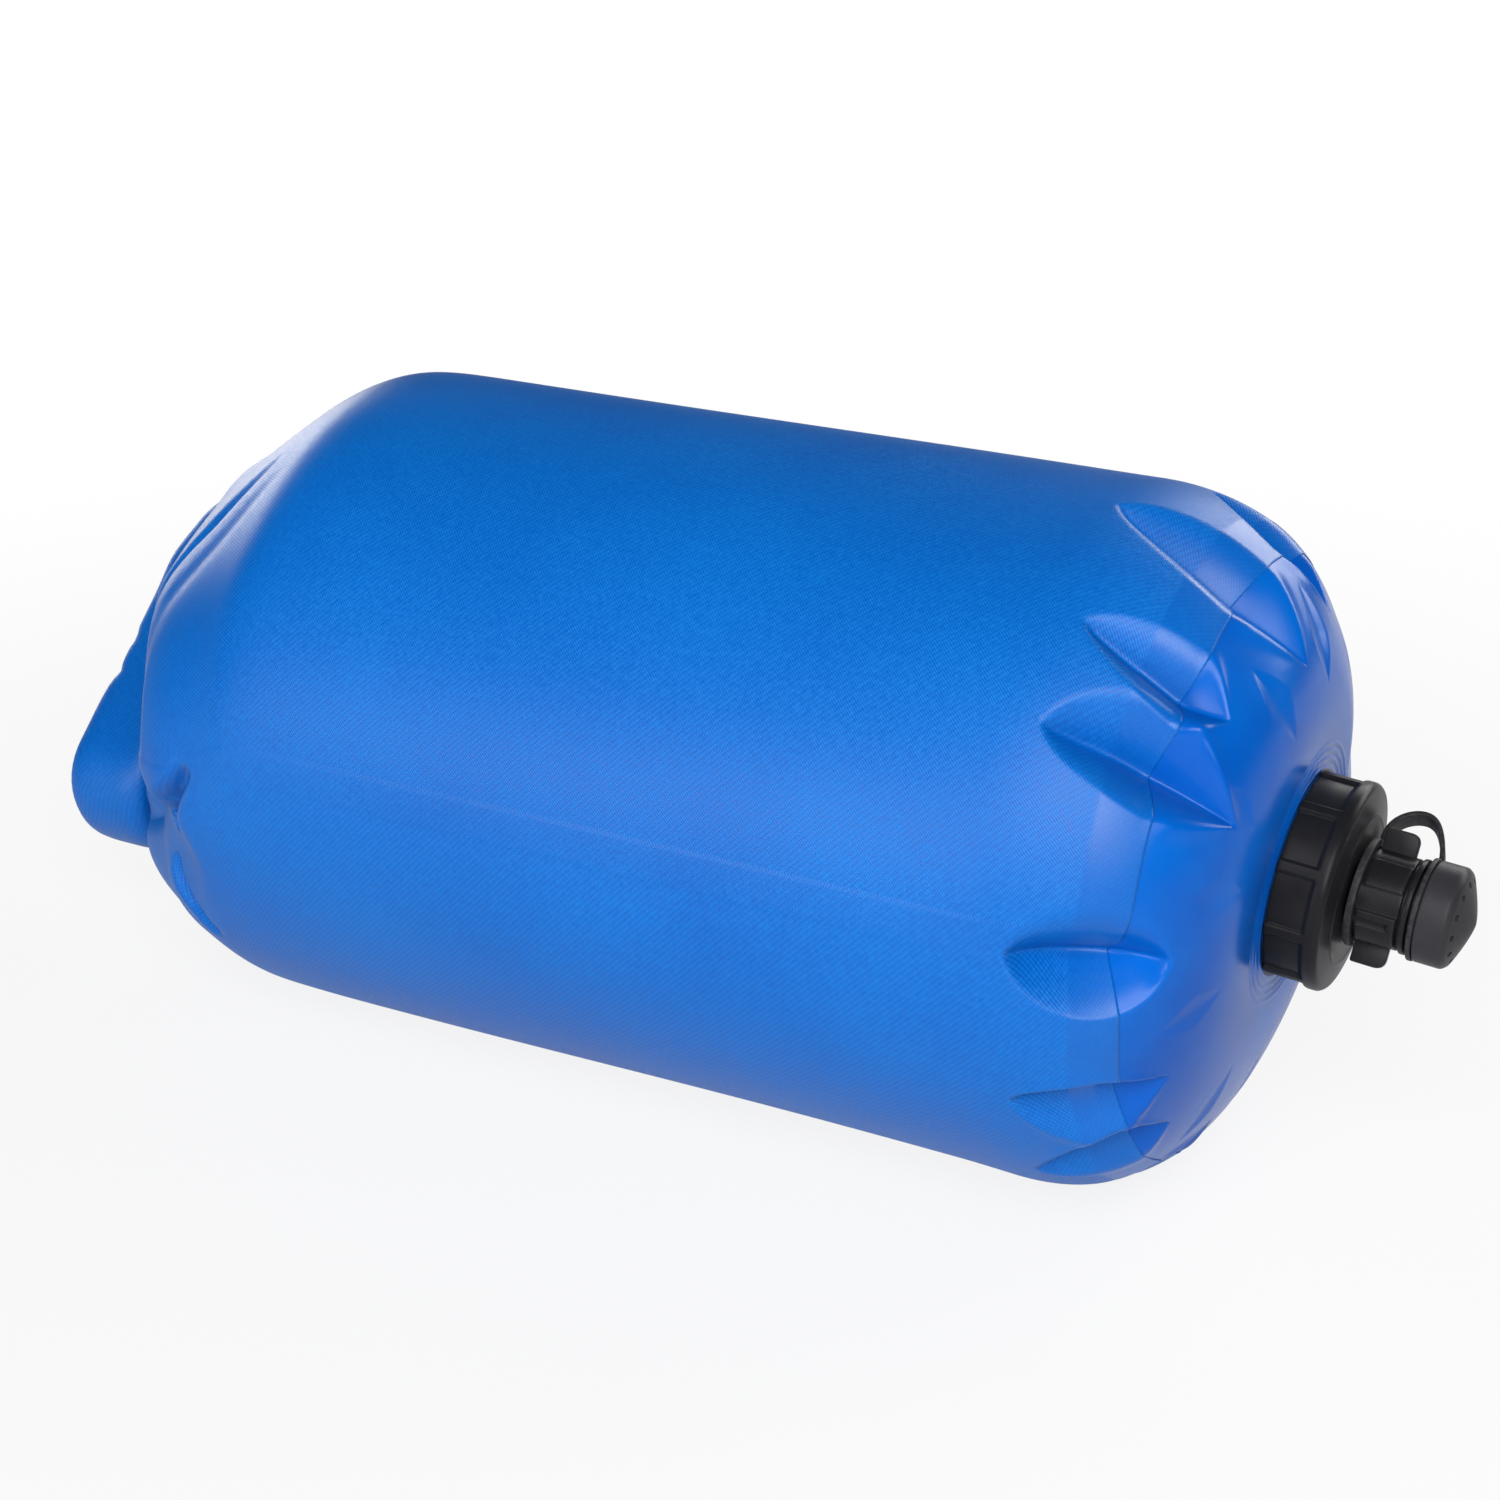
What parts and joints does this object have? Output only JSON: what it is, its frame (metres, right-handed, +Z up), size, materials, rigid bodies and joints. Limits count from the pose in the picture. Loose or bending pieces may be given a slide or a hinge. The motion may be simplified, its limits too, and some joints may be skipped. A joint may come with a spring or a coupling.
{
  "type": "roll-top water sack",
  "caption": "Cylindrical roll-top water sack lying on its side, with a buckled hanging loop at its closed end and a screw cap, twist tap and pull-off shower head on its domed base.",
  "frame": {"origin": "centre of the bounding box at its bottom, on the ground that the sack lies on", "axes": "+X along the sack's axis from the rolled closure to the shower head, +Z up"},
  "size_m": [0.4533, 0.1998, 0.1939],
  "materials": {
    "coated_nylon": "satin coated weave",
    "base_film": "glossy film",
    "black_plastic": "satin",
    "grey_plastic": "satin",
    "seal_rubber": "matte",
    "tether_rubber": "satin",
    "stiffener_plastic": "satin",
    "webbing": "woven"
  },
  "bodies": {
    "sack": {"bag_wall": "coated_nylon", "base_panel": "base_film", "spout_neck": "black_plastic", "spout_collar": "black_plastic", "closure_roll": "coated_nylon", "closure_stiffener": "stiffener_plastic", "webbing_tab_female": "webbing", "webbing_tab_male": "webbing", "buckle_female": "black_plastic", "buckle_male": "black_plastic"},
    "gasket": {"cap_gasket": "seal_rubber"},
    "cap": {"screw_cap": "black_plastic", "valve_stem": "black_plastic", "stem_seal": "seal_rubber"},
    "tap_ring": {"tap_seal": "seal_rubber"},
    "tap": {"tap_sleeve": "black_plastic", "head_seal": "seal_rubber", "tap_tether": "tether_rubber"},
    "head": {"shower_head": "grey_plastic"},
    "prong_right": {"buckle_prong_right": "black_plastic"},
    "prong_left": {"buckle_prong_left": "black_plastic"}
  },
  "joints": [
    {"name": "cap_travel", "type": "slide", "parent": "sack", "child": "gasket", "axis": [0.9962, 0, -0.0872], "range_m": [0, 0.015]},
    {"name": "cap_turn", "type": "hinge", "parent": "gasket", "child": "cap", "pos_m": [0.17694, -0.005, 0.0959], "axis": [0.9962, 0, -0.0872], "range_deg": [0, 1080]},
    {"name": "tap_lift", "type": "slide", "parent": "cap", "child": "tap_ring", "axis": [0.9962, 0, -0.0872], "range_m": [0, 0.003]},
    {"name": "tap_turn", "type": "hinge", "parent": "tap_ring", "child": "tap", "pos_m": [0.17694, -0.005, 0.0959], "axis": [0.9962, 0, -0.0872], "range_deg": [0, 120]},
    {"name": "head_pull", "type": "slide", "parent": "tap", "child": "head", "axis": [0.9962, 0, -0.0872], "range_m": [0, 0.015], "deforming": ["tap_tether"]},
    {"name": "prong_right_squeeze", "type": "hinge", "parent": "sack", "child": "prong_right", "pos_m": [-0.20311, 0.01978, 0.06337], "axis": [0, -0.6691, 0.7431], "range_deg": [0, 11], "stiffness_Nm_per_rad": 0.01},
    {"name": "prong_left_squeeze", "type": "hinge", "parent": "sack", "child": "prong_left", "pos_m": [-0.2186, 0.01978, 0.06337], "axis": [0, 0.6691, -0.7431], "range_deg": [0, 11], "stiffness_Nm_per_rad": 0.01}
  ],
  "couplings": [
    {"joint": "cap_travel", "follows": "cap_turn", "m_per_rad": 0.00079577},
    {"joint": "tap_lift", "follows": "tap_turn", "m_per_rad": 0.0014324}
  ]
}
